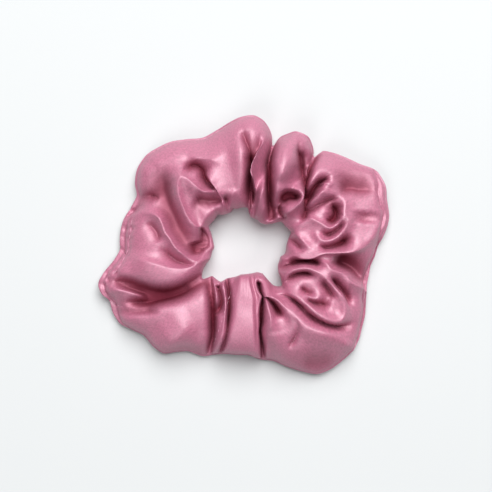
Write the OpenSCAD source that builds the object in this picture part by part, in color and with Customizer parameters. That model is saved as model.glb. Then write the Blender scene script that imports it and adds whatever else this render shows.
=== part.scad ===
// Satin hair scrunchie lying relaxed on a table: a tube of satin gathered over
// a loop of elastic. The origin is at the middle of its footprint, +Z is up.

/* [Cover] */
// Radius of the round opening that the hair goes through
opening_r = 13; // [11:0.5:14]
// How far the widest gather reaches out past the elastic
ruffle_reach = 36; // [28:1:42]
// Height of the tallest gather above the table
cover_h = 24; // [21:1:28]
// Thickness of the gathered cloth
wall = 1.2; // [1:0.1:1.6]

/* [Elastic] */
// Radius of the loop at the middle of the strip's inner end
band_r = 23.5; // [22:0.5:26]
// Width of the strip, which stands upright in the cover
band_w = 6; // [4:0.5:7]
// Thickness of the strip
band_t = 0.9; // [0.7:0.1:1.1]
// Length over which the strip's two ends lie on each other
band_lap = 14; // [10:1:18]

/* [Seams] */
// Width of the flat lip where the long seam's turned-in edges lie
lip_w = 5; // [4:0.5:6]
// Thickness of that lip, four layers of cloth
lip_t = 1.8; // [1.6:0.1:2.2]
// Distance of the closing stitches from the edge of the lip
closing_inset = 3.6; // [3:0.2:4]
// Pitch of the stitches along a seam
stitch_pitch = 3; // [2.4:0.1:3.6]
// Length of thread that shows for each stitch
stitch_len = 2.2; // [1.6:0.1:2.3]
// Diameter of the sewing thread
thread_d = 0.4; // [0.3:0.05:0.5]

/* [Hidden] */

satin = [0.74, 0.42, 0.53];
thread = [0.80, 0.50, 0.60];
elastic = [0.93, 0.92, 0.90];

// The gathers round the ring: angle, share of ruffle_reach, share of cover_h.
// Low rows are the valleys where one gather is pressed against the next.
GATHERS = [
    [12, 0.93, 0.55], [26, 1.00, 0.60], [38, 0.83, 0.72], [48, 0.71, 0.80],
    [54, 0.55, 0.55],
    [63, 0.70, 1.00], [70, 0.63, 0.90],
    [75, 0.50, 0.55],
    [86, 0.73, 0.95], [96, 0.70, 0.85], [110, 0.61, 0.75], [124, 0.71, 0.75],
    [138, 0.79, 0.75], [150, 0.72, 0.62],
    [160, 0.65, 0.52],
    [176, 0.68, 0.62], [186, 0.76, 0.60], [197, 0.98, 0.52],
    [205, 0.92, 0.50],
    [213, 0.93, 0.60], [230, 0.82, 0.72], [241, 0.66, 0.66],
    [250, 0.58, 0.55],
    [260, 0.53, 0.72], [272, 0.54, 0.72],
    [277, 0.57, 0.55],
    [286, 0.66, 0.75], [300, 0.95, 0.78], [314, 0.98, 0.72], [328, 0.86, 0.78],
    [345, 0.72, 0.68]
];

stations = 90;              // cross-sections round the ring
body_points = 17;           // points round the puffed body of a cross-section
cavity_points = 14;         // points round its hollow
body_r = opening_r - 1;     // innermost reach of the body, which the opening trims
cavity_r = opening_r + wall + 0.3;
sink = 1.5;                 // depth that the floor plane trims off the underside
inner_fullness = 2.3;       // superellipse exponents of a cross-section
outer_fullness = 1.7;
lip_angle = 16;             // where the body runs into the lip, seen from its middle
band_z = wall + 1.4 + band_w / 2;   // height of the elastic's middle
lap_angle = band_lap / band_r * 180 / PI;
strip_pitch = band_t + 0.1; // radial growth of the strip in one turn
closing_span = [158, 212];  // angles that the hand-closed gap spans
cross_seam_at = 252;        // angle of the seam that joins the tube's ends
big = 200;

// ---- The cover's shape, as functions of the angle round the ring ----

function turn(a) = a - 360 * floor(a / 360);
function gather_after(a, i = 0) =
    i == len(GATHERS) || GATHERS[i][0] > turn(a) ? i : gather_after(a, i + 1);
function eased(t) = (1 - cos(180 * t)) / 2;
function between(p, q, a) =
    let (span = turn(q[0] - p[0]), t = eased(turn(a - p[0]) / span))
    p + (q - p) * t;
function gather(a) =
    let (n = len(GATHERS), i = gather_after(a))
    between(GATHERS[(i + n - 1) % n], GATHERS[i % n], a);

function reach(a) = band_r + ruffle_reach * gather(a)[1];
function crown(a) = cover_h * gather(a)[2];
function edge_z(a) = (crown(a) - sink) / 2;

// A point on a superellipse whose outer half is more pointed than its inner half.
function power(x, p) = sign(x) * pow(abs(x), p);
function lens(phi, low_r, high_r, mid_z, half_h) =
    let (p = 2 / (cos(phi) < 0 ? inner_fullness : outer_fullness))
    [(low_r + high_r) / 2 + (high_r - low_r) / 2 * power(cos(phi), p),
     mid_z + half_h * power(sin(phi), p)];

function body_point(a, phi) =
    lens(phi, body_r, reach(a) - lip_w + 1, edge_z(a), (crown(a) + sink) / 2);
function cavity_point(a, phi) =
    lens(phi, cavity_r, reach(a) - lip_w - wall, crown(a) / 2, crown(a) / 2 - wall);

function lip_profile(a) = [
    [reach(a) - 0.5, edge_z(a) - lip_t / 2],
    [reach(a), edge_z(a)],
    [reach(a) - 0.5, edge_z(a) + lip_t / 2]
];
function body_profile(a) = concat(
    lip_profile(a),
    [for (i = [0:body_points - 1])
        body_point(a, lip_angle + i * (360 - 2 * lip_angle) / (body_points - 1))]
);
function cavity_profile(a) =
    [for (i = [0:cavity_points - 1]) cavity_point(a, i * 360 / cavity_points)];

// Places a point of a cross-section, [radius, height], at its angle.
function placed(p, a) = [p[0] * cos(a), p[0] * sin(a), p[1]];

// ---- Building blocks ----

// A closed ring with one cross-section for each angle.
module ring_sweep(profiles, angles) {
    n = len(profiles);
    m = len(profiles[0]);
    points = [for (i = [0:n - 1]) for (p = profiles[i]) placed(p, angles[i])];
    faces = [for (i = [0:n - 1]) for (j = [0:m - 1])
        let (k = (i + 1) % n, l = (j + 1) % m)
        for (f = [[i * m + j, k * m + l, k * m + j], [i * m + j, i * m + l, k * m + l]]) f];
    polyhedron(points, faces, convexity = 8);
}

// One straight run of thread between p and q, with a gap at each end.
module stitch(p, q, longest = stitch_len) {
    along = q - p;
    long = norm(along);
    run = min(longest, long - 0.8);
    translate(p + along * (1 - run / long) / 2)
        rotate([0, acos(along[2] / long), atan2(along[1], along[0])])
            cylinder(d = thread_d, h = run, $fn = 24);
}

// Stitches along a path, one for each pair of neighbours.
module stitches(path) {
    color(thread)
        for (i = [0:len(path) - 2]) stitch(path[i], path[i + 1]);
}

function steps_for(length) = round(length / stitch_pitch);

// ---- The cloth ----

module satin_cover() {
    angles = [for (i = [0:stations - 1]) i * 360 / stations];
    color(satin)
        difference() {
            ring_sweep([for (a = angles) body_profile(a)], angles);
            ring_sweep([for (a = angles) cavity_profile(a)], angles);
            cylinder(r = opening_r, h = big, center = true, $fn = 180);
            translate([-big / 2, -big / 2, -big]) cube(big);
        }
}

// ---- The elastic ----

function strip_r(a) = band_r + strip_pitch * a / 360;
strip_angles = [for (i = [0:120]) i * (360 + lap_angle) / 120];

module elastic_band() {
    color(elastic)
        translate([0, 0, band_z - band_w / 2])
            linear_extrude(band_w)
                polygon(concat(
                    [for (a = strip_angles) (strip_r(a) + band_t / 2) * [cos(a), sin(a)]],
                    [for (i = [len(strip_angles) - 1:-1:0])
                        let (a = strip_angles[i])
                        (strip_r(a) - band_t / 2) * [cos(a), sin(a)]]
                ));
}

// Zigzag over the lap. Side 1 is the outer face, side -1 the inner one.
module band_join(side) {
    zigs = 9;
    rise = band_w * 0.35;
    path = [for (i = [0:zigs])
        let (
            a = lap_angle * (0.15 + 0.7 * i / zigs),
            face = side > 0 ? strip_r(360 + a) + band_t / 2 : strip_r(a) - band_t / 2
        )
        placed([face, band_z + (i % 2 == 0 ? -rise : rise)], a)];
    color(elastic)
        for (i = [0:zigs - 1]) stitch(path[i], path[i + 1], band_w);
}

// ---- The seams ----

// Along the edge of the lip, all round but for the gap that is closed by hand.
module long_seam(side) {
    from = closing_span[1] + 2;
    to = closing_span[0] + 358;
    steps = steps_for((to - from) / 360 * 2 * PI * (band_r + 0.78 * ruffle_reach));
    stitches([for (i = [0:steps])
        let (a = from + (to - from) * i / steps)
        placed([reach(a) - 0.25, edge_z(a) + side * lip_t / 4], a)]);
}

// Through the lip where the gap was closed. Side 1 is the upper face.
module closing_seam(side) {
    from = closing_span[0];
    to = closing_span[1];
    steps = steps_for((to - from) / 360 * 2 * PI * (band_r + 0.8 * ruffle_reach));
    stitches([for (i = [0:steps])
        let (a = from + (to - from) * i / steps)
        placed(lip_surface(a, side), a)]);
}

// The lip's face slopes from its rim down to where the body leaves it.
function lip_surface(a, side) =
    let (
        root = body_point(a, side * lip_angle),
        rim = [reach(a) - 0.5, edge_z(a) + side * lip_t / 2],
        t = (reach(a) - closing_inset - root[0]) / (rim[0] - root[0])
    )
    t < 0 ? body_point(a, side * (lip_angle + 4)) : root + (rim - root) * t;

// Round the tube where its two ends meet, outside and inside the cloth.
module cross_seam(outside) {
    steps = outside ? 12 : 10;
    stitches([for (i = [0:steps])
        let (
            phi = 40 + 105 * i / steps,
            p = outside
                ? body_point(cross_seam_at, phi)
                : cavity_point(cross_seam_at, phi)
        )
        placed(p, cross_seam_at)]);
}

satin_cover();
elastic_band();
long_seam(1);  // long_seam_needle_thread
long_seam(-1);  // long_seam_bobbin_thread
closing_seam(1);  // closing_seam_needle_thread
closing_seam(-1);  // closing_seam_bobbin_thread
cross_seam(true);  // cross_seam_needle_thread
cross_seam(false);  // cross_seam_bobbin_thread
band_join(1);  // band_join_needle_thread
band_join(-1);  // band_join_bobbin_thread
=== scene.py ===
"""A satin scrunchie that lies on a pale floor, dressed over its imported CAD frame."""

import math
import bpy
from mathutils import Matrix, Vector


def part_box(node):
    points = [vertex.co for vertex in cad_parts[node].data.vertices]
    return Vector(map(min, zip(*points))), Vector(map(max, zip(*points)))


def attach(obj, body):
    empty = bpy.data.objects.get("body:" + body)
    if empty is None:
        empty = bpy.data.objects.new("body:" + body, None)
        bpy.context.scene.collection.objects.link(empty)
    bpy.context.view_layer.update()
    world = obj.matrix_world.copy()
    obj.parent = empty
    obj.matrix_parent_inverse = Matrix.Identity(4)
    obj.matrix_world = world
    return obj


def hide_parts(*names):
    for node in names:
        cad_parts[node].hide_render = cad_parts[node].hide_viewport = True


bl_info = {
    "name": "Satin Scrunchie",
    "version": (1, 0, 0),
    "blender": (4, 5, 0),
    "location": "3D View > Sidebar > Scrunchie",
    "description": "Gathers a satin tube over its elastic, sews its seams and lights it",
    "category": "Object",
}

from typing import NamedTuple

import bmesh
import bpy
import numpy as np
from bpy.props import FloatProperty, FloatVectorProperty, IntProperty
from mathutils import Vector, noise
from mathutils.bvhtree import BVHTree

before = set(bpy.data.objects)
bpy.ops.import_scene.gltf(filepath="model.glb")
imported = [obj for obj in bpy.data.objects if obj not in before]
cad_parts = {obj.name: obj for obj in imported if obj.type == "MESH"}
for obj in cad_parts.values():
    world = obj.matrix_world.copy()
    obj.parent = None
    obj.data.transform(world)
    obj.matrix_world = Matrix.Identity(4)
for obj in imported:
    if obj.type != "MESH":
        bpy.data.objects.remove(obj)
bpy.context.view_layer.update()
MM = 0.001
COVER = "satin_cover_cloth"

# ---- The gathered cover's outline: (degrees round the ring, millimetres) ----

RUFFLE_EDGE = [
    (0, 51.3), (4, 53.4), (12, 56.6), (18, 57.3), (24, 58.9), (29, 58.6), (36, 54.2), (42, 51.4),
    (48, 48.9), (51, 47.4), (52.6, 43.2), (54.5, 45.2), (57, 47), (61, 48.6), (66, 48.3), (70, 46.1),
    (73, 43.8), (75, 39.8), (76.6, 43.6), (79, 46.6), (83, 49.4), (87, 50.4), (92, 49.8), (97, 48.4),
    (104, 46.3), (111, 45.2), (120, 47.7), (126, 49.9), (132, 51.2), (138, 52.2), (143, 51.9), (150, 49.7),
    (156, 46.6), (162, 47.2), (168, 48.7), (175, 49.1), (181, 48.9), (186, 51.4), (191, 56.4), (195, 59.1),
    (198, 58.9), (202, 57), (207, 57.8), (211, 57.6), (216, 55), (222, 52.6), (228, 53), (232, 52.6),
    (237, 48.9), (242, 46.4), (248, 46), (254, 43.9), (260, 42.6), (270, 42.3), (277, 44.4), (283, 45.8),
    (288, 49), (294, 53.2), (300, 57.1), (306, 58), (315, 58), (320, 57), (325, 55), (330, 53.4),
    (336, 51), (343, 49.2), (350, 49), (356, 50.4),
]
OPENING_EDGE = [
    (0, 15.5), (10, 16.6), (18, 18), (26, 17), (34, 16.5), (41, 13), (48, 11.2), (58, 10.6), (69, 11),
    (80, 11.2), (85, 12.8), (88, 14.7), (97, 14.9), (102, 14.7), (108, 15.1), (115, 14.2), (126, 14.8),
    (132, 16.1), (141, 15.8), (151, 16.1), (160, 14.2), (172, 12.7), (182, 12.2), (190, 13.2), (199, 14.4),
    (204, 16.6), (210, 19.2), (217, 20.9), (222, 17.3), (234, 16.9), (240, 14.3), (252, 12.3), (262, 11),
    (276, 10.7), (290, 10.8), (301, 12.3), (305, 18.4), (312, 20.4), (317, 18.2), (322, 15.6), (332, 14.1),
    (342, 13.9), (350, 15.3),
]
# Height of the cloth's top over the table, and of its outer edge.
CROWN = [
    (0, 15), (14, 14), (30, 15), (42, 18), (52.5, 14), (64, 22), (70, 21), (75, 14), (84, 21), (92, 21),
    (102, 18), (118, 17), (135, 17), (150, 15), (165, 14.5), (180, 15), (195, 14), (212, 15), (230, 15),
    (243, 14), (250, 13.5), (262, 15), (274, 15), (279, 12.5), (290, 17), (310, 17), (328, 16), (345, 15),
]
EDGE_HEIGHT = [
    (0, 3.5), (18, 5), (30, 4), (45, 5), (52.5, 3), (64, 7), (75, 3), (88, 7), (105, 4), (120, 3.5),
    (140, 4.5), (160, 3.5), (175, 3.5), (190, 5), (197, 6), (210, 3), (225, 4), (240, 3.5), (252, 2.5),
    (267, 3.5), (279, 2.2), (295, 3.5), (312, 4), (330, 3.5), (345, 3),
]
# Width of the flat lip at the outer edge, where the cloth's turned-in edges lie.
LIP_WIDTH = [
    (0, 0.8), (45, 0.8), (140, 0.8), (160, 1.8), (176, 2.4), (204, 2.4), (216, 0.8), (300, 0.8),
]
# How flat the top of the cloth is, 1 where it is domed.
FLATNESS = [
    (0, 1.2), (45, 1), (100, 1.1), (150, 1.1), (215, 1.2), (235, 1.6), (250, 1.3), (258, 2.8), (276, 2.8),
    (285, 1.2), (310, 1.05), (335, 1.2),
]
# How closely the cross-sections follow each other, 1 where the gathers are widest.
CLOSENESS = [
    (0, 1.3), (20, 1.1), (42, 1.7), (55, 2.3), (70, 2), (84, 2), (95, 1.2), (130, 1), (160, 1.5),
    (205, 1.5), (220, 1.1), (242, 1.4), (252, 2.2), (262, 1.8), (272, 1.3), (279, 2.2), (290, 1.3),
    (310, 1), (330, 1.3),
]

# ---- Other sizes, in millimetres and degrees unless the line says otherwise ----

# Folds: how much of their drawn height they get, and their shape across the path.
RIDGE_GAIN = 1.5
CREASE_GAIN = 1.9
TALLEST_RIDGE = 3.2
FULL_DEPTH = 6.6  # depth of a crease that gets the full painted crease shade
PATH_STEP = 0.5
FOLD_REACH = 5  # in widths of the wider flank
END_FADE = 0.3  # share of the path over which an end dies away
CREST_SHARE = 0.55  # of the height, the rest is a rounder swell
CREST_WIDTH = 0.55  # in widths of the flank, as the next one is
SWELL_WIDTH = 1.35
CREST_SOFTNESS = 0.4
CRISP_BELOW = 2.4  # a flank wider than this has less of a crest
LEAN = 0.5  # share of its height, at most, that a ridge leans over
PINCH = 0.3  # how far the cloth beside a fold is drawn in

# Cross-sections: a pointed oval that runs out into a flat lip.
INNER_FULLNESS = 2.3
OUTER_FULLNESS = 1.7
TYPICAL_SIZE = (18, 12)  # half width and half height
UPPER_SHARE = 0.62  # of the points, on the upper face
POINTS_PER_LIP_POINT = 12  # for each face of the lip
INNER_EDGE_HEIGHT = 6.5
LIP_HALF_THICKNESS = 0.45
LIP_DROOP = 0.3
LIP_OFF_FLOOR = 0.2
LEAST_HEIGHT = 0.12  # share of the height that the deepest crease leaves
UNDERSIDE_DROP = 2.5  # below the floor, which presses it flat
SAMPLES = 1440  # steps of a full turn

# The room that the cloth leaves for the elastic.
BAND_RADIUS = 24.1
BAND_ROOM = 2.4
BAND_TOP = 8.6
BAND_BOTTOM = 1.9
BAND_SOFTNESS = 3.2
SLOPE_ABOVE = 1.5  # how steeply the room ends beside the elastic
SLOPE_BELOW = 1.2

# Unevenness of the cloth, and the narrow pleats underneath.
FINE_GATHER = 0.35
FINE_SIZE = (1.5, 8)  # round the ring at FINE_RADIUS, and outwards
FINE_RADIUS = 24.0
SLOW_WAVE = 0.35
SLOW_SIZE = 6.5
PLEATS = 46
PLEAT_DEPTH = 5.0
PLEAT_SEED = 7
PLEAT_WIDTHS = (0.6, 1.4)  # against the usual width
PLEAT_DEPTHS = (0.45, 1)  # share of PLEAT_DEPTH
PLEAT_LENGTHS = (0.7, 1)  # share of the way from the opening to the edge
PLEAT_STARTS = (0.06, 0.22)  # share of the same way
PLEAT_WANES = 0.45  # share of its length where a pleat begins to fade
PLEAT_BEND = 2.2
PLEAT_BENDS_FROM = (14, 30)  # radii between which the bend sets in

# Seams, and the puckers that the closing stitches pull.
STITCH_PITCH = 3.0
CLOSING_SPAN = (158, 212)
CLOSING_STEP = 0.3
SEAM_GAP = 2  # between the long seam and the closing seam
LONG_SEAM_INSET = 0.9
LONG_SEAM_SAMPLES = 900
CROSS_SEAM_AT = 252
CROSS_SEAM_REACH = (18, 40)  # radii
CROSS_SEAM_PITCH = 0.6  # in pitches of the other seams
OFFSET = 0.2  # of a thread's middle from the cloth, in thicknesses
INSIDE = 0.45  # depth of hidden stitches
PUCKER_TURN = (-0.5, 0.5)  # radians
PUCKER_INWARD = (1.5, 4.5)
PUCKER_OUTWARD = (2.5, 4.5)
PUCKER_HEIGHT = (-1.4, -0.1)

# The elastic: a strip that spirals outwards and laps over itself, and its join.
BAND_START = 23.5
BAND_GROWTH = 1.0
BAND_LAP = 34.1
CORE_HALF_THICKNESS = 0.26
CORE_WIDTH = 0.97  # share of the strip's width, as the next one is
RIBS_WIDTH = 0.88
CORE_POINTS = 12
YARN_THICKNESS = 0.5
YARN_LENGTH = 1.25  # in pitches
YARN_SLANT = 0.45
YARN_OUT = 0.28  # from the strip's middle
ZIGZAGS = 9
ZIGZAG_SPAN = (0.15, 0.7)  # start and length, as shares of the lap
ZIGZAG_RISE = 0.7  # share of the strip's half width
ZIGZAG_OUT = 0.56
ZIGZAG_THICKNESS = 0.3
ZIGZAG_OVERLAP = 0.1

# Satin: specks of its grain round the ring, and round the tube.
YARN_SCALE = (560, 90, 1)
FLOAT_SCALE = (260, 60, 1)

# Stage, in metres and watts: each light's place, size and power.
LIGHTS = {
    "key": ((0.17, 0.68, 1.2), 1.3, 33.5),
    "fill": ((-0.35, -0.75, 0.9), 0.6, 3.6),
}
VIEW_HEIGHT = 0.008  # where the width in view is measured
RAY_START = 0.1  # above or below the floor


class Fold(NamedTuple):
    """A ridge (height above 0) or a crease (below 0), in millimetres.

    Left and right are the widths of its flanks, on either side of its path. Ends are
    the shares of its height that it keeps at its start and end: 0 dies away, 1 keeps all.
    """

    height: float
    left: float
    right: float
    path: list
    ends: tuple = (0, 0)


TOP_FOLDS = [Fold(*row) for row in [
    # Top left: the smooth puff, its long soft valley and the pocket that bends back.
    (-3.2, 4.5, 4, [(-34.1, 32.1), (-31.8, 25.4), (-30.7, 19.7), (-28.5, 14.1), (-25.5, 7.4), (-22.9, 1.8),
     (-20.6, -1.6)], (0, 0.7)),
    (5, 1.7, 2.8, [(-24.7, 26.1), (-25.8, 23.1), (-25.5, 18.6), (-23.6, 13.8), (-21.4, 9.6), (-18.7, 7),
     (-16.9, 7), (-14.2, 10), (-12, 12.6), (-9.4, 15.6)], (0.6, 0.4)),
    (3.6, 1.2, 2.4, [(-24.7, 26.1), (-22.1, 25), (-19.9, 22.7), (-17.6, 20.9), (-15, 20.1), (-11.2, 20.9)],
     (0.5, 0.3)),
    (-3.5, 3, 2.5, [(-20.1, 17.9), (-15.4, 16.7), (-9.8, 16.7)], (0, 1)),
    (-3.6, 2.6, 1.5, [(-23.6, 27.6), (-19.9, 30), (-17, 28.3), (-15.9, 25.5), (-12.6, 22.5)], (0, 0.8)),
    (1.5, 3, 2.2, [(-22.9, 32.5), (-19.1, 33.6), (-13.5, 33), (-8.6, 30.6)]),
    (3.5, 2.2, 1.1, [(-15.4, 29.1), (-12.4, 24.6), (-9.8, 20.9), (-8.3, 16.7), (-7.9, 12.3)], (0, 1)),
    (-4, 1.2, 1.2, [(-6.8, 20), (-6.4, 15.6), (-6.8, 12.3)], (0, 1)),
    (2, 1.5, 1.5, [(-4.1, 22.5), (-4.5, 16), (-5.4, 12.3)], (0, 1)),
    # First lobe of the top right.
    (-2.6, 2.4, 1.4, [(-1.7, 44.4), (-0.8, 40.3), (0.35, 35.8), (0.5, 32.8), (1.1, 31)], (0.2, 1)),
    (-4.6, 1.7, 1.3, [(0.5, 32.8), (0.7, 25.4), (1.1, 19.7), (1.5, 14)], (0.5, 1)),
    (-3, 2.6, 2.2, [(4, 44), (5.1, 39), (4, 34.5), (2.2, 28.8), (1.6, 21.2)], (0, 1)),
    (4.5, 2.6, 1.3, [(5.9, 47.5), (8.2, 44), (7.4, 39), (5.5, 34.9), (3.9, 29.9), (3.8, 26.5), (5.1, 22.7),
     (5.5, 19.3), (4, 15.9), (2.2, 12.9)], (0, 0.3)),
    (-9, 1.1, 1, [(10.9, 40.2), (10, 35.6), (9.3, 31), (9.3, 26), (9.3, 21), (8.9, 16), (9.6, 11)],
     (1, 1)),
    (1.8, 1.2, 1.2, [(2.2, 27), (4.1, 25.8), (5.2, 23.2)], (0.4, 0.4)),
    (-4, 1.1, 1.1, [(2.9, 22.6), (3.6, 19.6), (3.4, 16.5)], (0.4, 0.6)),
    # Second lobe: a smooth roll, its flap and the rosette at its foot.
    (3.4, 3, 3.6, [(15.6, 41.7), (13.9, 35.6), (13.9, 28.8), (14.4, 23.5)]),
    (-4, 1.8, 0.9, [(19.9, 40.6), (19.7, 36.4), (19.9, 32.6), (20.7, 28), (21.1, 23.5), (21.4, 19.3)],
     (0.2, 0.6)),
    (-3, 2, 2, [(21.1, 36.3), (21.8, 31.8), (21.1, 27.4)]),
    (3, 1.3, 1.3, [(22.6, 43.2), (25, 39), (25.6, 35.3), (24.5, 31.5), (22.9, 26.9), (22, 22),
     (21.8, 17.4), (22.4, 12.7)], (0, 0.6)),
    (3.2, 1.4, 1.3, [(12.6, 15.4), (12.4, 18.6), (14, 21.4), (17.2, 22.2), (19.8, 20.7), (20.4, 17.8),
     (18.6, 15.4), (16, 14.8)], (0.6, 0)),
    (-8, 1.7, 1.7, [(14.7, 18.4), (16.2, 19.3), (17.8, 18.8)], (0.8, 0.8)),
    (-5, 1, 1.2, [(12.9, 16), (13, 12.6), (14.6, 10.8)], (0.5, 1)),
    (2.5, 1.6, 1.6, [(20.7, 17.4), (19.2, 14.4), (16.5, 12.2), (14.4, 10.8)], (0.3, 1)),
    # Crease between the second lobe and the right-hand puff.
    (-9, 1.3, 1.4, [(27, 35), (24.9, 28.8), (23.5, 25), (23, 21.2), (22.8, 17.4), (23.3, 13.6),
     (22.4, 10.4)], (1, 0.7)),
    # Right: the cone-shaped pocket and the broad valley beyond it.
    (3, 1.4, 3.4, [(23.6, 17), (24.4, 21.2), (25.6, 25.8), (27.8, 31.1), (30.4, 35)], (0.6, 0)),
    (-6.5, 2, 1.7, [(23.6, 13.9), (25.6, 18.2), (27.3, 22), (30.4, 25.2), (33, 26.4)], (1, 0)),
    (3.2, 0.9, 2.2, [(23.9, 12.8), (26.4, 16.1), (29.4, 19.3), (32.1, 21.8)], (0.8, 0)),
    (1.8, 1.2, 1.2, [(32.6, 21.9), (31, 23.2), (28.8, 22.6)]),
    (-3, 5.5, 2.4, [(34.2, 19.5), (39.3, 21.4), (43.8, 21), (50.6, 21.6)], (0, 0.4)),
    (-3.2, 1, 1.4, [(24.5, 11.4), (28.6, 15), (32.4, 17.4), (35.1, 18.9)], (0.6, 0)),
    # Right: two hooked ridges, one inside the other.
    (3.4, 1.7, 1.2, [(36, 20), (37.4, 16.3), (37, 11.7), (35.1, 8.7), (31.7, 6.8), (28.6, 7.9),
     (25.6, 8.9), (23, 8.7), (18.5, 6.6)], (0, 1)),
    (-5, 1.7, 2, [(33.9, 16.8), (34.5, 12.9), (33.2, 10), (29.8, 9.9)]),
    (2.8, 1.4, 1.4, [(25.2, 7.6), (26, 4.9), (28.3, 2.5), (31.7, 2.3), (35.1, 3.8), (38.1, 6.8),
     (39.6, 10.6), (40.4, 14.2)]),
    (-4, 1.6, 1.4, [(27.8, 5.5), (31.6, 4.6), (35.9, 6.8), (38, 10)]),
    (2.6, 1.2, 1.2, [(18.2, 5.4), (22, 2), (24.5, -1.5)], (1, 0)),
    (-3.5, 1.8, 1.4, [(15.5, 3.2), (19.6, 0.6), (21.4, -1.6)], (1, 0)),
    (-4.6, 1.8, 1.8, [(25.8, 1.1), (30.5, -0.2), (36.2, 1.2), (40.6, 4.9)]),
    (1.6, 2.4, 2, [(51, 10), (49.5, 4.6), (45.7, 0.8)]),
    (-1.6, 4, 4, [(45.6, 13.2), (45.4, 8.4)]),
    # Right: the long level ridge, the valley below it and the zigzag ridge.
    (5, 2.2, 1, [(12.5, -4.6), (17.3, -2.7), (21.1, -3.4), (24.1, -3.4), (28.6, -2.5), (34.3, -2.5),
     (39.3, -2.1), (43.8, -0.6), (48.6, 1.9)], (1, 0.3)),
    (-4.8, 1.8, 1.6, [(13.5, -8.2), (18, -6.4), (21.8, -5.4), (25.6, -5.9), (29.4, -8.6)], (1, 0)),
    (-5, 4.5, 1.5, [(31.5, -5.9), (39.3, -8.6), (43.1, -12), (46.8, -15.2)], (0, 0.6)),
    (4, 1, 2.2, [(26, -4.2), (29.8, -6.7), (31.7, -9.1), (34.7, -10.4), (37.4, -11.6), (39.3, -13.9),
     (43.1, -15.8), (48.4, -18)], (0, 1)),
    (2, 1, 1, [(12.6, -9.6), (14.6, -7.2), (18, -5.9)], (1, 0)),
    # Right: the teardrop ridge and what it encloses.
    (4, 1.6, 1.5, [(14.2, -13.6), (16.1, -10.4), (18.8, -8.9), (22.6, -8.5), (26.4, -9.9), (30.9, -13.5),
     (34.3, -17.3), (37, -21.1), (37.7, -24.9), (36.6, -27.3), (34, -28), (29.8, -26.8), (25.6, -24.3),
     (22.6, -21.6), (19.5, -18.8), (15.4, -17.1), (9.8, -17.5)], (1, 0.7)),
    (-4.5, 1, 1.3, [(14.8, -13.6), (17.1, -11.7), (20.2, -10.6), (23.4, -10.5), (26, -12)], (0.8, 0)),
    (-3, 1.6, 1.6, [(28, -12.6), (30.4, -16), (33.4, -20.5)]),
    (-2.5, 1.2, 1.2, [(20.8, -14.9), (23.3, -17.2), (26, -17.3)]),
    (1.6, 1.2, 1.2, [(21.6, -17.7), (25.6, -19.3), (29, -18.6)]),
    (-3, 1.5, 1.5, [(21.6, -19.4), (26.4, -21.6), (32.3, -22)]),
    (-5, 1.6, 1.3, [(30.9, -10.9), (34.9, -15.2), (38.2, -19.7), (39.9, -24.4)]),
    (-4, 1.4, 1.7, [(18.7, -20.8), (22.4, -24.5), (26.4, -27.4), (31.3, -29.6), (36.2, -30.4), (40, -29.6),
     (42.6, -27.3)], (0.3, 0)),
    (-3.2, 1.2, 1.4, [(11, -17.9), (16.6, -19), (20.4, -21.8), (23.3, -24.9)], (1, 0)),
    # Lower right: the big ridge from the pinch, its dark pocket and a fine crease.
    (4, 2.2, 2.6, [(8.3, -18.4), (12.7, -20.3), (16.1, -23.7), (19.5, -27.5), (22.4, -30.6), (27.1, -32.8),
     (32.4, -34.3), (37.4, -36.6), (42.5, -39.6)], (1, 0.3)),
    (-6, 2, 2, [(8.4, -19.8), (11, -22.2), (13, -25.2), (14.6, -27)], (1, 0.2)),
    (2.4, 1.8, 1.8, [(6.9, -19.5), (8.4, -22.8), (9.7, -27.1), (10.1, -33)], (1, 0)),
    (-1.8, 0.9, 0.8, [(18.4, -28), (19.4, -31.3), (18.4, -34.9), (15.9, -39.5)], (0.7, 0)),
    (-3, 4, 5, [(20, -45), (28, -46), (35, -44)], (0.3, 0.3)),
    # Bottom: the gap beside the smooth panel, the panel, and the narrow pleats.
    (-10, 0.75, 1.1, [(5.6, -14), (6.4, -19), (6.8, -26.8), (7, -32.4), (7.2, -38.1), (7, -45)], (1, 1)),
    (1.8, 4, 1.4, [(3.6, -12), (4.2, -26), (4.4, -40)], (1, 1)),
    (1.6, 4.5, 4.5, [(-0.5, -12), (-0.3, -26), (-0.2, -40)], (1, 1)),
    (2.6, 4, 5, [(-5.5, -33.5), (0, -34), (5, -33.5)], (1, 1)),
    (-5.5, 0.8, 0.9, [(-7.2, -13), (-6.4, -17.8), (-6.2, -22.6), (-6.8, -28.3), (-7.5, -33.9), (-8.6, -38),
     (-10.9, -43)], (1, 1)),
    (1.3, 1.1, 1.2, [(-8.6, -14.4), (-7.9, -20.8), (-8.5, -26.4), (-9.6, -32), (-10.6, -37.6),
     (-12, -41.7)], (1, 0.5)),
    (-4.5, 1, 1, [(-10.6, -16), (-9.6, -20.8), (-10.4, -23.8), (-11.6, -26.4)], (1, 0)),
    (1.3, 0.9, 0.9, [(-12.8, -12.4), (-11.8, -16), (-11.5, -20), (-12.2, -24.5)], (1, 0)),
    (-7, 1, 1.2, [(-14.4, -12.8), (-13.1, -19.3), (-12.8, -24.5), (-13, -30.1), (-13.2, -35.7),
     (-14.4, -43)], (1, 1)),
    # Lower left puff.
    (1.4, 5, 5, [(-32.6, -38), (-26.6, -35), (-22.9, -32), (-19.1, -30)]),
    (-2.6, 2, 2.6, [(-33.1, -42), (-28.6, -40.2), (-24.4, -39.2), (-18.6, -40.7)], (0.5, 1)),
    # Left: the deep fold, the rim over it, and the shallower fold below.
    (-7, 1.4, 3, [(-55.5, -13.8), (-49.1, -12.9), (-45.3, -13.4), (-39.7, -15.2), (-35.6, -16.6),
     (-30.3, -17), (-25.8, -16.3), (-21.7, -14.4), (-15.6, -10.6)], (0.1, 1)),
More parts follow.
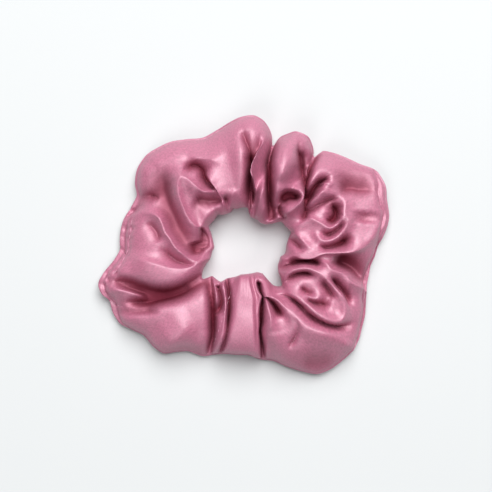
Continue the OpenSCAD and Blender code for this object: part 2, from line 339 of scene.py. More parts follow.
    (4.2, 1.8, 3.4, [(-45.3, -4.3), (-41.6, -4.9), (-37.1, -6.7), (-32.2, -8.6), (-27.3, -9.7),
     (-22.9, -9.7), (-18.4, -8), (-14, -5.4)], (0, 0.6)),
    (2, 1.8, 1.8, [(-52.9, -16.3), (-46.1, -17), (-41.6, -18), (-37.3, -19)]),
    (-4.5, 2, 2, [(-47.3, -21.6), (-39.7, -21.6), (-34.1, -20.8), (-30.3, -19.3), (-26, -17.4)],
     (0.3, 0.6)),
    (-2.2, 2.6, 0.8, [(-51.8, -25.6), (-44.2, -26), (-37.8, -25.8), (-32.3, -25.4)], (0.8, 0)),
    # Left: the hooked ridge round the dark hollow at the opening.
    (3.4, 1.7, 1.6, [(-42.6, 12.6), (-37.1, 12.3), (-33.5, 11.1), (-31.8, 8.5), (-30.3, 4.8), (-28.1, 1.4),
     (-25.5, -1.6), (-22.1, -4.3), (-19.1, -5.9), (-16.9, -5), (-15.7, -2.3), (-16.2, 0.2)], (0.1, 0.3)),
    (-1.8, 2.2, 2.2, [(-33.6, 0.3), (-28.4, -4.5), (-24.4, -6.9), (-21, -7.7), (-16.2, -6.5)]),
    (-4.5, 1.6, 1.6, [(-19.5, 1.8), (-18.4, -3.3)]),
    (-8, 1.8, 1.7, [(-16.4, 6), (-15.6, 2), (-16, -1.5)], (0.8, 0.3)),
    (-3.2, 2.2, 2, [(-45.4, 12.9), (-39.7, 18.2), (-35.6, 19), (-33.1, 17.3)], (0.7, 0)),
    (-1.8, 2.2, 2.2, [(-38.4, 9.4), (-34.9, 5.6), (-33, 0.8)]),
    (1.2, 2.6, 2.6, [(-46.2, 24.4), (-42.6, 27.6), (-38.5, 33)]),
]]

# Folds that run out over the lip to the very edge.
EDGE_FOLDS = [Fold(*row) for row in [
    (1.8, 0.7, 1.3, [(37.4, -11.6), (39.3, -13.9), (43.1, -15.8), (49, -18.2)], (0.1, 1)),
    (1.6, 0.9, 1.6, [(36, -36), (40, -38.2), (44, -40.4)], (0.1, 1)),
    (-1.5, 0.6, 1, [(-47, 11), (-43.2, 14), (-39, 16.4)], (1, 0)),
    (1.5, 0.8, 1.2, [(-46.6, 9.6), (-42.4, 12.4), (-38, 12.4)], (1, 0)),
]]
# The seam line just inside the right-hand edge.
SEAM_LINE = [
    (49.5, 28), (50.8, 24.3), (50.6, 20.5), (51.4, 16.3), (52.9, 12.5), (52.5, 9.8), (51.4, 4.2),
    (49.9, -2.4), (46.8, -8.9), (45.3, -14.6), (44.6, -19.5), (45.3, -24.9), (43.8, -32.4), (41.9, -39.3),
]
# The line of the closing stitches, a few millimetres inside the left-hand edge.
CLOSING_LINE = [
    (-42.3, 13), (-44.2, 9.3), (-43.8, 6.6), (-44.9, 2.9), (-44.9, -0.9), (-46.1, -3.2), (-47.6, -6.5),
    (-49.8, -9.9), (-53, -12.9), (-54.4, -15.2), (-54.1, -18.1), (-50.9, -22.3), (-47.2, -23.4),
]


# ---- Shapes, in millimetres ----


def round_the_ring(table, degrees):
    """Values between the rows of a table, smooth and without overshoot, round the ring."""
    at, value = np.array(table, float).T
    at = np.concatenate([at - 360, at, at + 360])
    value = np.tile(value, 3)
    step = np.diff(at)
    slope = np.diff(value) / step
    before, after = slope[:-1], slope[1:]
    same_way = before * after > 0
    mean = 2 * before * after / np.where(same_way, before + after, 1)
    bend = np.concatenate([[0], np.where(same_way, mean, 0), [0]])
    i = np.clip(np.searchsorted(at, degrees, side="right") - 1, 0, len(step) - 1)
    t = (degrees - at[i]) / step[i]
    return (
        value[i] * (1 + 2 * t) * (1 - t) ** 2
        + bend[i] * step[i] * t * (1 - t) ** 2
        + value[i + 1] * t * t * (3 - 2 * t)
        + bend[i + 1] * step[i] * t * t * (t - 1)
    )


def smoothstep(low, high, x):
    """0 up to low, 1 from high on, and a smooth rise between them."""
    t = np.clip((x - low) / (high - low), 0, 1)
    return t * t * (3 - 2 * t)


def smooth_path(points, step):
    """The points of a curve through the given ones, about step apart."""
    p = np.array(points, float)
    p = np.vstack([2 * p[0] - p[1], p, 2 * p[-1] - p[-2]])
    out = []
    for a, b, c, d in zip(p, p[1:], p[2:], p[3:]):
        n = max(2, int(np.linalg.norm(c - b) / step))
        t = (np.arange(n) / n)[:, None]
        out.append(
            0.5 * (2 * b + (c - a) * t + (2 * a - 5 * b + 4 * c - d) * t**2
                   + (3 * b - a - 3 * c + d) * t**3)
        )
    out.append(p[-2:-1])
    return np.vstack(out)


def fold_shape(fold, xy):
    """How far a fold raises each point, and how far it pushes it sideways."""
    rise = np.zeros(len(xy), np.float32)
    push = np.zeros((len(xy), 2), np.float32)
    path = smooth_path(fold.path, PATH_STEP).astype(np.float32)
    reach = FOLD_REACH * max(fold.left, fold.right)
    near = np.all((xy > path.min(0) - reach) & (xy < path.max(0) + reach), axis=1)
    points = xy[near]
    gap = points[:, None, :] - path[None, :, :]
    closest = (gap**2).sum(2).argmin(1)
    away = gap[np.arange(len(points)), closest]
    along = np.gradient(path, axis=0)[closest]
    along /= np.linalg.norm(along, axis=1)[:, None]
    side = along[:, 0] * away[:, 1] - along[:, 1] * away[:, 0]
    width = np.where(side > 0, fold.left, fold.right)
    share = closest / (len(path) - 1)
    start, end = fold.ends
    fade = (start + (1 - start) * smoothstep(0, END_FADE, share)) * (
        end + (1 - end) * smoothstep(0, END_FADE, 1 - share)
    )
    distance = np.linalg.norm(away, axis=1) / width
    crest = np.exp(CREST_SOFTNESS - np.hypot(distance / CREST_WIDTH, CREST_SOFTNESS))
    swell = np.exp(-((distance / SWELL_WIDTH) ** 2))
    crisp = np.minimum(1, CRISP_BELOW / width) ** 2
    profile = fade * (CREST_SHARE * crisp * crest + (1 - CREST_SHARE * crisp) * swell)
    tilt = LEAN * fold.height * (fold.right - fold.left) / (fold.right + fold.left)
    rise[near] = fold.height * profile
    push[near] = np.stack([-along[:, 1], along[:, 0]], 1) * (tilt * profile)[:, None]
    push[near] -= away * (PINCH * crisp * fade * np.exp(1 - distance))[:, None]
    return rise, push


def running_sum(steps):
    """The sum before each step and after the last one."""
    return np.concatenate([[0], np.cumsum(steps)])


def power(x, p):
    """A power that keeps the sign."""
    return np.sign(x) * np.abs(x) ** p


def smooth_max(a, b, softness):
    """The greater of two, rounded off where they cross."""
    return (a + b + np.sqrt((a - b) ** 2 + softness**2)) / 2


def ring_angles(stations):
    """The cross-sections' angles in degrees, closer together where gathers are narrow."""
    degrees = np.linspace(0, 360, SAMPLES + 1)
    count = running_sum(round_the_ring(CLOSENESS, degrees)[1:])
    return np.interp(np.arange(stations) / stations * count[-1], count, degrees)


def section_of(points):
    """The points of a cross-section, over the top and back underneath, in four rows.

    They are the face (1 above, -1 below), the share of the way from the opening to the
    lip, the share of the way over the lip, and the share of the body's height.
    """
    turn = np.linspace(0, math.pi, SAMPLES // 2 + 1)
    fullness = np.where(turn > math.pi / 2, INNER_FULLNESS, OUTER_FULLNESS)
    across = power(np.cos(turn), 2 / fullness)
    up = power(np.sin(turn), 2 / fullness)
    half_width, half_height = TYPICAL_SIZE
    run = running_sum(np.hypot(np.diff(across) * half_width, np.diff(up) * half_height))
    lip_points = points // POINTS_PER_LIP_POINT
    upper = round(UPPER_SHARE * (points - 2 * lip_points))
    lower = points - 2 * lip_points - upper

    def half(count):
        at = (np.arange(count) + 0.5) / count * run[-1]
        return (1 + np.interp(at, run, across)) / 2, np.interp(at, run, up)

    over, over_lift = half(upper)
    under, under_lift = half(lower)
    ledge = np.sin(np.linspace(0.5 * math.pi, 0, lip_points, endpoint=False))
    nothing, whole = np.zeros(lip_points), np.ones(lip_points)
    return np.stack([
        np.concatenate([whole, np.ones(upper), -np.ones(lower), -whole]),
        np.concatenate([whole, over, under[::-1], whole]),
        np.concatenate([ledge, 0 * over, 0 * under, ledge[::-1] * 0.98]),
        np.concatenate([nothing, over_lift, under_lift[::-1], nothing]),
    ])


def pleats(degrees, radius, share):
    """Heights of the narrow gathers underneath, which radiate from the elastic."""
    draw = np.random.default_rng(PLEAT_SEED)
    edge = running_sum(draw.uniform(*PLEAT_WIDTHS, PLEATS))
    edge *= 360 / edge[-1]
    depth = draw.uniform(*PLEAT_DEPTHS, PLEATS)
    length = draw.uniform(*PLEAT_LENGTHS, PLEATS)
    bend = PLEAT_BEND * np.sin(radius / 6 + 3 * np.sin(np.radians(3 * degrees)))
    at = np.mod(degrees + bend * smoothstep(*PLEAT_BENDS_FROM, radius), 360)
    number = np.clip(np.searchsorted(edge, at, side="right") - 1, 0, PLEATS - 1)
    within = (at - edge[number]) / (edge[number + 1] - edge[number])
    fade = 1 - smoothstep(PLEAT_WANES * length[number], length[number], share)
    fade *= smoothstep(*PLEAT_STARTS, share)
    return PLEAT_DEPTH * depth[number] * fade * np.sin(math.pi * within) ** 2


def wrinkles(degrees, radius, share):
    """Small unevenness of the cloth: fine gathers by the opening and a slow waviness."""
    angle = np.radians(degrees)
    x, y = radius * np.cos(angle), radius * np.sin(angle)
    around, outward = FINE_RADIUS * angle / FINE_SIZE[0], radius / FINE_SIZE[1]
    places = np.stack([around, outward, x / SLOW_SIZE, y / SLOW_SIZE], 2).reshape(-1, 4)
    fine, slow = np.zeros(radius.size), np.zeros(radius.size)
    for i, (a, r, u, v) in enumerate(places.tolist()):
        fine[i] = noise.noise((a, r, 0.0))
        slow[i] = noise.noise((u, v, 5.0))
    fine = fine.reshape(radius.shape) * FINE_GATHER * (1 - smoothstep(0.0, 0.55, share))
    return fine + slow.reshape(radius.shape) * SLOW_WAVE


def gathered_tube(stations, points):
    """The cover's vertices, a row for each cross-section, and their depth in a crease, from which the
    satin's crease shade is painted.
    """
    degrees = ring_angles(stations)
    face, body, lip, lift = section_of(points)[:, None, :]
    outer, inner, crown, edge, lip_width, flatness = (
        round_the_ring(table, degrees)[:, None]
        for table in (RUFFLE_EDGE, OPENING_EDGE, CROWN, EDGE_HEIGHT, LIP_WIDTH, FLATNESS)
    )
    radius = inner + (outer - lip_width - inner) * body + lip_width * lip
    angle = np.radians(degrees)[:, None]
    xy = np.stack([radius * np.cos(angle), radius * np.sin(angle)], 2)
    flat_xy = xy.reshape(-1, 2).astype(np.float32)
    shapes = [fold_shape(fold, flat_xy) for fold in TOP_FOLDS]
    folds = sum(rise for rise, push in shapes).reshape(radius.shape)
    ridges = TALLEST_RIDGE * np.tanh(np.maximum(folds, 0) * RIDGE_GAIN / TALLEST_RIDGE)
    folds = ridges + CREASE_GAIN * np.minimum(folds, 0)
    push = sum(push for rise, push in shapes).reshape(xy.shape)
    relief = sum(fold_shape(fold, flat_xy)[0] for fold in seam_folds()).reshape(radius.shape)

    middle = edge + (INNER_EDGE_HEIGHT - edge) * (1 - smoothstep(0, 1, body))
    lowest = LIP_HALF_THICKNESS + LIP_OFF_FLOOR
    middle = np.maximum(middle - LIP_DROOP * lip_width * lip, lowest)
    rim = 1 - np.clip((outer - radius) / LIP_HALF_THICKNESS, 0, 1)
    half_lip = LIP_HALF_THICKNESS * np.sqrt(1 - rim**2) * smoothstep(0, 0.15, body)
    room = crown - middle
    puffed = lift ** (1 / flatness) * np.maximum(room + folds, LEAST_HEIGHT * room)
    above = middle + half_lip + puffed + relief
    off_band = np.maximum(np.abs(radius - BAND_RADIUS) - BAND_ROOM, 0)
    over_band = smooth_max(above, BAND_TOP - SLOPE_ABOVE * off_band, BAND_SOFTNESS)
    above = np.where(lift > 0.3, over_band, above)

    share = (radius - inner) / (outer - inner)
    everywhere = np.broadcast_to(degrees[:, None], radius.shape)
    above += wrinkles(everywhere, radius, share) * lift
    gathers = pleats(everywhere, radius, share)
    gathers = np.minimum(gathers, BAND_BOTTOM + SLOPE_BELOW * off_band)
    below = middle - half_lip - lift * (middle + UNDERSIDE_DROP)
    below = smooth_max(below, gathers * np.minimum(1, 2 * lift), 0.3) + relief * (1 - lift)
    height = np.maximum(np.where(face > 0, above, below), 0)
    push = push * (lift * (face > 0))[:, :, None]
    # How deep each point lies in a crease, which sets how much shade is painted there.
    depth = np.clip(-folds / FULL_DEPTH, 0, 1) * lift * (face > 0)
    return np.dstack([xy + push, height]), depth


def seam_folds():
    """The lines of the seams, the folds over the lip and the closing stitches' puckers."""
    draw = np.random.default_rng(PLEAT_SEED)
    line = smooth_path(CLOSING_LINE, STITCH_PITCH / 2)
    folds = [
        Fold(-1.3, 0.6, 0.6, CLOSING_LINE, (0.5, 0.5)),
        Fold(-3.0, 0.9, 0.5, SEAM_LINE, (0.6, 0.6)),
        *EDGE_FOLDS,
    ]
    for here, onward in zip(line[::2], line[1::2]):
        along = (onward - here) / np.linalg.norm(onward - here)
        out = np.array([along[1], -along[0]]) * (1 if along[1] * here[0] > 0 else -1)
        turn = draw.uniform(*PUCKER_TURN)
        out = out * math.cos(turn) + along * math.sin(turn)
        inward, outward = draw.uniform(*PUCKER_INWARD), draw.uniform(*PUCKER_OUTWARD)
        path = [tuple(here - out * inward), tuple(here), tuple(here + out * outward)]
        folds.append(Fold(draw.uniform(*PUCKER_HEIGHT), 0.45, 0.6, path, (0, 0.8)))
    return folds


# ---- Node trees ----


def arithmetic(operation, swapped=False):
    """A method of Signal that adds one Math node."""

    def method(self, other):
        pair = (other, self) if swapped else (self, other)
        return self.tree.add("ShaderNodeMath", {"operation": operation}, dict(enumerate(pair)))

    return method


class Signal:
    """A value in a node tree. Arithmetic on it adds the Math nodes that work it out."""

    def __init__(self, tree, socket):
        self.tree = tree
        self.socket = socket

    __add__, __radd__ = arithmetic("ADD"), arithmetic("ADD", swapped=True)
    __sub__, __rsub__ = arithmetic("SUBTRACT"), arithmetic("SUBTRACT", swapped=True)
    __mul__, __rmul__ = arithmetic("MULTIPLY"), arithmetic("MULTIPLY", swapped=True)


class NodeTree:
    """Adds nodes to one tree."""

    def __init__(self, tree):
        self.tree = tree

    def node(self, kind, settings=None, inputs=None):
        """A new node. Its settings are set first, then its sockets' values or links."""
        node = self.tree.nodes.new(kind)
        for name, value in (settings or {}).items():
            setattr(node, name, value)
        for key, value in (inputs or {}).items():
            self.put(node.inputs[key], value)
        return node

    def add(self, kind, settings=None, inputs=None, output=0):
        """The same, but gives one of the node's outputs as a Signal."""
        return Signal(self, self.node(kind, settings, inputs).outputs[output])

    def put(self, socket, value):
        """Links a Signal or a socket, or sets a plain value."""
        if isinstance(value, Signal):
            value = value.socket
        if isinstance(value, bpy.types.NodeSocket):
            self.tree.links.new(value, socket)
        else:
            socket.default_value = value


def new_material(name):
    """A material, and its node tree, which is empty."""
    material = bpy.data.materials.new(name)
    material.use_nodes = True
    material.node_tree.nodes.clear()
    return material, NodeTree(material.node_tree)


def shade(tree, sockets):
    """Adds a material's shader and its output."""
    shader = tree.node("ShaderNodeBsdfPrincipled", {}, sockets)
    tree.node("ShaderNodeOutputMaterial", {}, {"Surface": shader.outputs[0]})


def mix_colours(tree, factor, first, second):
    """The first colour at factor 0, the second at factor 1."""
    return tree.add("ShaderNodeMix", {"data_type": "RGBA"}, {0: factor, 6: first, 7: second}, 2)


def cloudy(tree, vector, scale, detail):
    sockets = {"Vector": vector, "Scale": scale, "Detail": detail, "Roughness": 0.6}
    return tree.add("ShaderNodeTexNoise", {}, sockets)


def drawn_out(tree, vector, scale):
    """Noise that is drawn out along the cloth by a different scale each way."""
    scaled = tree.add("ShaderNodeVectorMath", {"operation": "MULTIPLY"}, {0: vector, 1: scale})
    return cloudy(tree, scaled, 1.0, 3.0)


def satin_material(settings):
    """Satin: long floats of yarn that shine, over a weave that shows only close by, with shade painted
    into its creases.
    """
    material, tree = new_material("dusty_rose_satin")
    cloth = tree.add("ShaderNodeUVMap", {"uv_map": "cloth"})
    yarns = drawn_out(tree, cloth, YARN_SCALE)
    floats = drawn_out(tree, cloth, FLOAT_SCALE)
    pale = (*[min(1, 1.5 * c) for c in settings.colour], 1)
    deep = (*[0.5 * c for c in settings.colour], 1)
    plain = mix_colours(tree, yarns + floats * 0.4 - 0.2, deep, pale)
    # Painted shade: the deeper a crease, the more its colour goes to the dark crimson crease shade, and
    # the more metallic and rough it gets, so it loses its pale light.
    depth = tree.add("ShaderNodeAttribute", {"attribute_name": "crease_depth"}, output="Fac")
    colour = mix_colours(tree, depth * 0.95, plain, (*settings.crease_shade_colour, 1))
    bump = tree.add("ShaderNodeBump", {}, {"Strength": 0.5, "Distance": 0.0002, "Height": yarns})
    shade(tree, {
        "Base Color": colour,
        "Metallic": depth * 0.8,
        "Roughness": 0.46 + floats * 0.16 + depth * 0.2,
        "IOR": 2.25,
        "Specular Tint": (1.0, 0.9, 0.95, 1),
        "Normal": bump,
    })
    return material


def plain_material(name, colour, roughness):
    material, tree = new_material(name)
    shade(tree, {"Base Color": (*colour, 1), "Roughness": roughness})
    return material


def thread_material(name, colour):
    """Spun thread: matt and a little hairy, with a fine grain."""
    material, tree = new_material(name)
    place = tree.add("ShaderNodeTexCoord", output="Object")
    fibres = cloudy(tree, place, 5200.0, 2.0)
    dark = (*[0.78 * c for c in colour], 1)
    bump = tree.add("ShaderNodeBump", {}, {"Strength": 0.5, "Distance": 0.0001, "Height": fibres})
    shade(tree, {
        "Base Color": mix_colours(tree, fibres, dark, (*colour, 1)),
        "Roughness": 0.55 + fibres * 0.2,
        "Sheen Weight": 0.3,
        "Normal": bump,
    })
    return material


def laid_thread_tree():
    """Lays one rounded run of thread along each edge of a mesh."""
    group = bpy.data.node_groups.new("laid_thread", "GeometryNodeTree")
    group.is_modifier = True
    kinds = {
        "Runs": "Geometry", "Thickness": "Float", "Gap": "Float", "Sides": "Int", "Rings": "Int",
        "Finish": "Material",
    }
    for name, kind in kinds.items():
        group.interface.new_socket(name, in_out="INPUT", socket_type="NodeSocket" + kind)
    group.interface.new_socket("Thread", in_out="OUTPUT", socket_type="NodeSocketGeometry")
    tree = NodeTree(group)
    given = tree.node("NodeGroupInput").outputs
    ends = tree.node("GeometryNodeInputMeshEdgeVertices").outputs
    run = tree.add("ShaderNodeVectorMath", {"operation": "SUBTRACT"}, {
        0: ends["Position 2"], 1: ends["Position 1"]})
    capture = tree.node("GeometryNodeCaptureAttribute", {"domain": "EDGE"})
    capture.capture_items.new("VECTOR", "Run")
    tree.put(capture.inputs["Geometry"], given["Runs"])
    tree.put(capture.inputs["Run"], run)
    kept_run = capture.outputs["Run"]
    points = tree.add("GeometryNodeMeshToPoints", {"mode": "EDGES"}, {
        "Mesh": capture.outputs["Geometry"]})
    length = tree.add("ShaderNodeVectorMath", {"operation": "LENGTH"}, {0: kept_run}, "Value")
    turn = tree.add("FunctionNodeAlignRotationToVector", {"axis": "Z"}, {"Vector": kept_run})
    size = tree.add("ShaderNodeCombineXYZ", {}, {
        "X": given["Thickness"],
        "Y": given["Thickness"],
        "Z": length - Signal(tree, given["Gap"]),
    })
    bead = tree.add("GeometryNodeMeshUVSphere", {}, {
        "Segments": given["Sides"], "Rings": given["Rings"], "Radius": 0.5})
    laid = tree.add("GeometryNodeInstanceOnPoints", {}, {
        "Points": points, "Instance": bead, "Rotation": turn, "Scale": size})
    smooth = tree.add("GeometryNodeSetShadeSmooth", {}, {
        "Geometry": tree.add("GeometryNodeRealizeInstances", {}, {"Geometry": laid})})
    finished = tree.add("GeometryNodeSetMaterial", {}, {
        "Geometry": smooth, "Material": given["Finish"]})
    tree.node("NodeGroupOutput", {}, {"Thread": finished})
    return group


# ---- Meshes ----


def new_object(name, mesh, material=None):
    made = bpy.data.objects.new(name, mesh)
    bpy.context.scene.collection.objects.link(made)
    if material is not None:
        mesh.materials.append(material)
    return made


def ring_mesh(name, vertices, depth):
    """A closed tube mesh from rows of cross-sections, with the cloth's own UV map."""
    stations, points = vertices.shape[:2]
    index = np.arange(stations * points).reshape(stations, points)
    onward = np.roll(index, -1, 0)
    faces = np.stack([index, onward, np.roll(onward, -1, 1), np.roll(index, -1, 1)], 2)
    mesh = bpy.data.meshes.new(name)
    mesh.from_pydata(vertices.reshape(-1, 3).tolist(), [], faces.reshape(-1, 4).tolist())
    along, across = np.meshgrid(np.arange(stations), np.arange(points), indexing="ij")
    corners = [(along, across), (along + 1, across), (along + 1, across + 1), (along, across + 1)]
    uv = np.stack([np.stack([a / stations, c / points], 2) for a, c in corners], 2)
    layer = mesh.uv_layers.new(name="cloth")
    layer.data.foreach_set("uv", uv.astype(np.float32).ravel())
    # The depth in a crease, from which the satin material paints shade into the creases.
    attribute = mesh.attributes.new("crease_depth", "FLOAT", "POINT")
    attribute.data.foreach_set("value", depth.astype(np.float32).ravel())
    mesh.shade_smooth()
    return mesh


def lay_thread(name, starts, ends, thickness, gap, material, sides=8, rings=6):
    """A plain mesh of thread with one run from each start to its end."""
    runs = bpy.data.meshes.new(name + "_runs")
    count = len(starts)
    edges = [(i, i + count) for i in range(count)]
    runs.from_pydata([*map(tuple, starts), *map(tuple, ends)], edges, [])
    guide = new_object(name + "_runs", runs)
    group = bpy.data.node_groups.get("laid_thread") or laid_thread_tree()
    modifier = guide.modifiers.new("Thread", "NODES")
    modifier.node_group = group
    values = {
        "Thickness": thickness, "Gap": gap, "Sides": sides, "Rings": rings, "Finish": material,
    }
    for item in group.interface.items_tree:
        if item.name in values:
            modifier[item.identifier] = values[item.name]
    settled = guide.evaluated_get(bpy.context.evaluated_depsgraph_get())
    mesh = bpy.data.meshes.new_from_object(settled)
    mesh.name = name
    bpy.data.objects.remove(guide)
    bpy.data.meshes.remove(runs)
    return new_object(name, mesh)


def evenly(line, pitch):
    """Points along a line, a pitch apart."""
    along = running_sum(np.linalg.norm(np.diff(line, axis=0), axis=1))
    at = np.linspace(0, along[-1], max(2, round(along[-1] / pitch) + 1))
    return np.stack([np.interp(at, along, part) for part in line.T], 1)


class Cloth:
    """The cover's outer surface, for pieces that follow it. Its places are in metres."""

    def __init__(self):
        mesh = bpy.data.objects[COVER].data
        corners = [v.co for v in mesh.vertices]
        self.surface = BVHTree.FromPolygons(corners, [p.vertices for p in mesh.polygons])

    def above(self, x, y, lift=0.0, side=1):
        """The point on top of the cloth at x, y, raised by lift along the surface's normal."""
        start, inwards = Vector((x, y, RAY_START * side)), Vector((0, 0, -side))
        place, normal, *_ = self.surface.ray_cast(start, inwards)
        return np.array(place + normal * lift)

    def below(self, x, y, lift=0.0):
        """The same, underneath the cloth."""
        return self.above(x, y, lift, -1)


def on_ring(radius, degrees):
    """Points at a radius and an angle round the opening's axis."""
    angle = np.radians(degrees)
    return np.stack([radius * np.cos(angle), radius * np.sin(angle)], -1)


# ---- Settings ----

LENGTH = {"unit": "LENGTH", "precision": 5}


class CoverSettings(bpy.types.PropertyGroup):
    """The satin cover"""

    stations: IntProperty(
        name="Stations", description="Cross-sections round the ring", default=450, min=60)
    points: IntProperty(
        name="Points", description="Points round a cross-section", default=110, min=40)
    thickness: FloatProperty(
        name="Thickness", description="Thickness of the satin", default=0.2 * MM,
        **LENGTH)
    colour: FloatVectorProperty(
        name="Colour", description="Colour of the satin", subtype="COLOR",
        default=(0.43, 0.119, 0.204))
    # The dark crimson that is painted into the creases as shade.
    crease_shade_colour: FloatVectorProperty(
        name="Painted crease shade", description="Dark colour painted into the satin's creases as shade",
        subtype="COLOR", default=(0.21, 0.010, 0.036))


class SeamSettings(bpy.types.PropertyGroup):
    """The sewing thread"""

    thickness: FloatProperty(
        name="Thickness", description="Thickness of the sewing thread", default=0.34 * MM,
        **LENGTH)
    pitch: FloatProperty(
        name="Pitch", description="Distance from one stitch to the next",
        default=STITCH_PITCH * MM, **LENGTH)
    gap: FloatProperty(
        name="Gap", description="Bare cloth between two stitches", default=0.7 * MM,
        **LENGTH)
    colour: FloatVectorProperty(
        name="Colour", description="Colour of the sewing thread", subtype="COLOR",
        default=(0.62, 0.28, 0.39))


class ElasticSettings(bpy.types.PropertyGroup):
    """The braided elastic"""

    ribs: IntProperty(name="Ribs", description="Ribs across the strip", default=9, min=3)
    pitch: FloatProperty(
        name="Pitch", description="Distance from one yarn to the next along a rib",
        default=1.5 * MM, **LENGTH)
    colour: FloatVectorProperty(
        name="Colour", description="Colour of the elastic", subtype="COLOR",
        default=(0.84, 0.82, 0.78))


class StageSettings(bpy.types.PropertyGroup):
    """The floor, the light and the camera"""

    view_width: FloatProperty(
        name="View width", description="Width in view at the cloth's height", default=188.7 * MM,
        **LENGTH)
    lens: FloatProperty(name="Lens", description="Focal length in millimetres", default=85.0)


# ---- Operators ----


class SCRUNCHIE_OT_cover(bpy.types.Operator):
    """Make the gathered satin cover"""

    bl_idname = "scrunchie.cover"
    bl_label = "Satin Cover"

    def execute(self, context):
        settings = context.scene.scrunchie_cover
        vertices, depth = gathered_tube(settings.stations, settings.points)
        mesh = ring_mesh(COVER, vertices * MM, depth)
        cover = new_object(COVER, mesh, satin_material(settings))
        solid = cover.modifiers.new("Thickness", "SOLIDIFY")
        solid.thickness = settings.thickness
        solid.offset = -1
        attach(cover, "cover")
        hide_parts("satin_cover")
        return {"FINISHED"}


class SCRUNCHIE_OT_seams(bpy.types.Operator):
    """Sew the long seam, the closing seam and the cross seam of the cover"""

    bl_idname = "scrunchie.seams"
    bl_label = "Seams"

    def execute(self, context):
        settings = context.scene.scrunchie_seams
        cloth = Cloth()
        thread = thread_material("rose_sewing_thread", settings.colour)
        offset = OFFSET * settings.thickness
        inside = INSIDE * MM

        closing = evenly(smooth_path(CLOSING_LINE, CLOSING_STEP) * MM, settings.pitch)
        upper = [cloth.above(x, y, offset) for x, y in closing]
        lower = [cloth.below(x, y, offset) + (0, 0, settings.thickness) for x, y in closing]
        self.sew("closing_seam", upper, lower, thread, settings)

        first, last = CLOSING_SPAN[1] + SEAM_GAP, CLOSING_SPAN[0] + 360 - SEAM_GAP
        degrees = np.linspace(first, last, LONG_SEAM_SAMPLES)
        edge = round_the_ring(RUFFLE_EDGE, degrees % 360) - LONG_SEAM_INSET
        edge = evenly(on_ring(edge, degrees) * MM, settings.pitch)
        upper = [cloth.above(x, y) - (0, 0, inside) for x, y in edge]
        lower = [cloth.below(x, y) + (0, 0, inside) for x, y in edge]
        self.sew("long_seam", upper, lower, thread, settings)

        line = on_ring(np.array(CROSS_SEAM_REACH), np.full(2, CROSS_SEAM_AT))
        across = evenly(line * MM, CROSS_SEAM_PITCH * settings.pitch)
        outside = [cloth.above(x, y, -offset) for x, y in across]
        within = [cloth.above(x, y, -inside) for x, y in across]
        self.sew("cross_seam", outside, within, thread, settings)
        return {"FINISHED"}

    @staticmethod
    def sew(seam, needle, bobbin, material, settings):
        """A seam's two rows of stitches, each for the frame's node of that name."""
        for kind, places in (("needle", needle), ("bobbin", bobbin)):
            node = f"{seam}_{kind}_thread"
            row = lay_thread(
                node + "_stitches", places[:-1], places[1:], settings.thickness, settings.gap,
                material)
            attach(row, "cover")
            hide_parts(node)


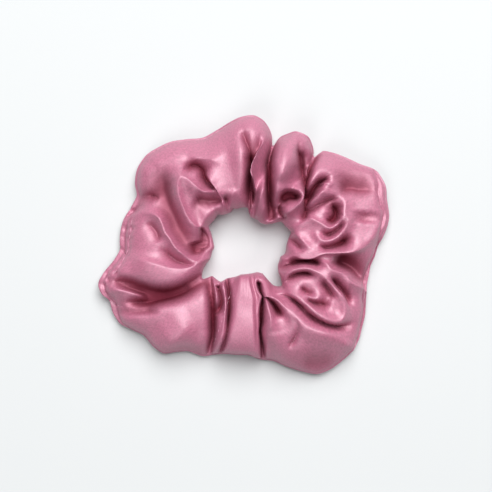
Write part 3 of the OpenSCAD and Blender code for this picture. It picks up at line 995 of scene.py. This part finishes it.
class SCRUNCHIE_OT_elastic(bpy.types.Operator):
    """Braid the elastic band and join its ends with a zigzag"""

    bl_idname = "scrunchie.elastic"
    bl_label = "Elastic"

    def execute(self, context):
        settings = context.scene.scrunchie_elastic
        material = thread_material("ivory_braided_elastic", settings.colour)
        low, high = (corner[2] * 1000 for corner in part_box("elastic_band"))
        middle, half = (low + high) / 2, (high - low) / 2
        turn = 2 * math.pi * (1 + BAND_LAP / 360)
        count = round(turn * BAND_RADIUS * MM / settings.pitch)
        angle = np.arange(count) / count * turn
        radius = BAND_START + BAND_GROWTH * angle / (2 * math.pi)
        starts, ends = [], []
        for rib in range(settings.ribs):
            height = middle + half * RIBS_WIDTH * (2 * rib / (settings.ribs - 1) - 1)
            slant = YARN_SLANT if rib % 2 else -YARN_SLANT
            for out in (-YARN_OUT, YARN_OUT):
                for step, places in ((-0.5, starts), (0.5, ends)):
                    at = angle + step * YARN_LENGTH * settings.pitch / MM / radius
                    z = np.full(count, height + slant * step * 2)
                    places.append(self.places(radius + out, at, z))
        braid = lay_thread(
            "elastic_band_braid", np.vstack(starts), np.vstack(ends), YARN_THICKNESS * MM, 0.0,
            material, sides=6, rings=4)
        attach(braid, "elastic")
        core = new_object("elastic_band_core", self.strip(angle, radius, middle, half), material)
        core.data.shade_smooth()
        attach(core, "elastic")
        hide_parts("elastic_band")

        thread = thread_material("ivory_elastic_thread", settings.colour)
        zigs = np.arange(ZIGZAGS + 1)
        start, length = ZIGZAG_SPAN
        at = math.radians(BAND_LAP) * (start + length * zigs / ZIGZAGS)
        z = middle + ZIGZAG_RISE * half * np.where(zigs % 2, 1, -1)
        for node, face in (("band_join_needle_thread", 1), ("band_join_bobbin_thread", -1)):
            layer = BAND_START + (BAND_GROWTH if face > 0 else 0)
            layer = layer + BAND_GROWTH * at / (2 * math.pi)
            places = self.places(layer + face * ZIGZAG_OUT, at, z)
            zigzag = lay_thread(
                node + "_zigzag", places[:-1], places[1:], ZIGZAG_THICKNESS * MM,
                -ZIGZAG_OVERLAP * MM, thread)
            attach(zigzag, "elastic")
            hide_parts(node)
        return {"FINISHED"}

    @staticmethod
    def places(radius, angle, height):
        """Points in metres from radii and heights in millimetres and angles in radians."""
        return np.stack([radius * np.cos(angle), radius * np.sin(angle), height], -1) * MM

    @classmethod
    def strip(cls, angle, radius, middle, half):
        """The rubber core of the strip, a flat ribbon with rounded edges and closed ends."""
        turn = np.arange(CORE_POINTS) * math.pi / (CORE_POINTS / 2)
        out = CORE_HALF_THICKNESS * power(np.cos(turn), 0.5)
        up = CORE_WIDTH * half * power(np.sin(turn), 0.4)
        r = radius[:, None] + out[None, :]
        rows = cls.places(r, angle[:, None], np.broadcast_to(middle + up[None, :], r.shape))
        index = np.arange(len(rows) * CORE_POINTS).reshape(-1, CORE_POINTS)
        onward = np.roll(index, -1, 1)
        sides = np.stack([index[:-1], index[1:], onward[1:], onward[:-1]], 2).reshape(-1, 4)
        mesh = bpy.data.meshes.new("elastic_band_core")
        faces = [*sides.tolist(), index[0].tolist(), index[-1][::-1].tolist()]
        mesh.from_pydata(rows.reshape(-1, 3).tolist(), [], faces)
        shape = bmesh.new()
        shape.from_mesh(mesh)
        bmesh.ops.recalc_face_normals(shape, faces=shape.faces)
        shape.to_mesh(mesh)
        shape.free()
        return mesh


class SCRUNCHIE_OT_stage(bpy.types.Operator):
    """Make the floor, the lights and the camera"""

    bl_idname = "scrunchie.stage"
    bl_label = "Stage"

    def execute(self, context):
        settings = context.scene.scrunchie_stage
        scene = context.scene
        half = 3.0
        corners = [(-half, -half, 0), (half, -half, 0), (half, half, 0), (-half, half, 0)]
        mesh = bpy.data.meshes.new("floor")
        mesh.from_pydata(corners, [], [(0, 1, 2, 3)])
        finish = plain_material("pale_floor", colour=(0.60, 0.616, 0.62), roughness=0.9)
        floor = new_object("floor", mesh, finish)
        for name, light in LIGHTS.items():
            self.light(name, *light)
        world = bpy.data.worlds.new("studio")
        scene.world = world
        world.use_nodes = True
        background = world.node_tree.nodes["Background"]
        background.inputs["Color"].default_value = (0.96, 0.98, 1.0, 1)
        background.inputs["Strength"].default_value = 0.12
        camera = bpy.data.cameras.new("camera")
        camera.lens = settings.lens
        holder = new_object("camera", camera)
        distance = settings.view_width / 2 / math.tan(camera.angle / 2)
        holder.location = (0, 0, distance + VIEW_HEIGHT)
        scene.camera = holder
        scene.view_settings.view_transform = "Standard"
        return {"FINISHED"}

    @staticmethod
    def light(name, place, size, power):
        """A round light that faces the origin."""
        lamp = bpy.data.lights.new(name, "AREA")
        lamp.shape = "DISK"
        lamp.size = size
        lamp.energy = power
        holder = new_object(name, lamp)
        holder.location = place
        holder.rotation_euler = (-Vector(place)).to_track_quat("-Z", "Y").to_euler()


class SCRUNCHIE_PT_panel(bpy.types.Panel):
    """The scrunchie's pieces"""

    bl_idname = "SCRUNCHIE_PT_panel"
    bl_label = "Scrunchie"
    bl_space_type = "VIEW_3D"
    bl_region_type = "UI"
    bl_category = "Scrunchie"

    def draw(self, context):
        for operator in OPERATORS:
            self.layout.operator(operator.bl_idname)


GROUPS = {
    "scrunchie_cover": CoverSettings,
    "scrunchie_seams": SeamSettings,
    "scrunchie_elastic": ElasticSettings,
    "scrunchie_stage": StageSettings,
}
OPERATORS = [
    SCRUNCHIE_OT_cover, SCRUNCHIE_OT_seams, SCRUNCHIE_OT_elastic, SCRUNCHIE_OT_stage,
]
CLASSES = [*GROUPS.values(), *OPERATORS, SCRUNCHIE_PT_panel]


def register():
    for cls in CLASSES:
        bpy.utils.register_class(cls)
    for name, group in GROUPS.items():
        setattr(bpy.types.Scene, name, bpy.props.PointerProperty(type=group))


def unregister():
    for name in GROUPS:
        delattr(bpy.types.Scene, name)
    for cls in reversed(CLASSES):
        bpy.utils.unregister_class(cls)


def main():
    register()
    for operator in OPERATORS:
        group, name = operator.bl_idname.split(".")
        getattr(getattr(bpy.ops, group), name)()


if __name__ == "__main__":
    main()
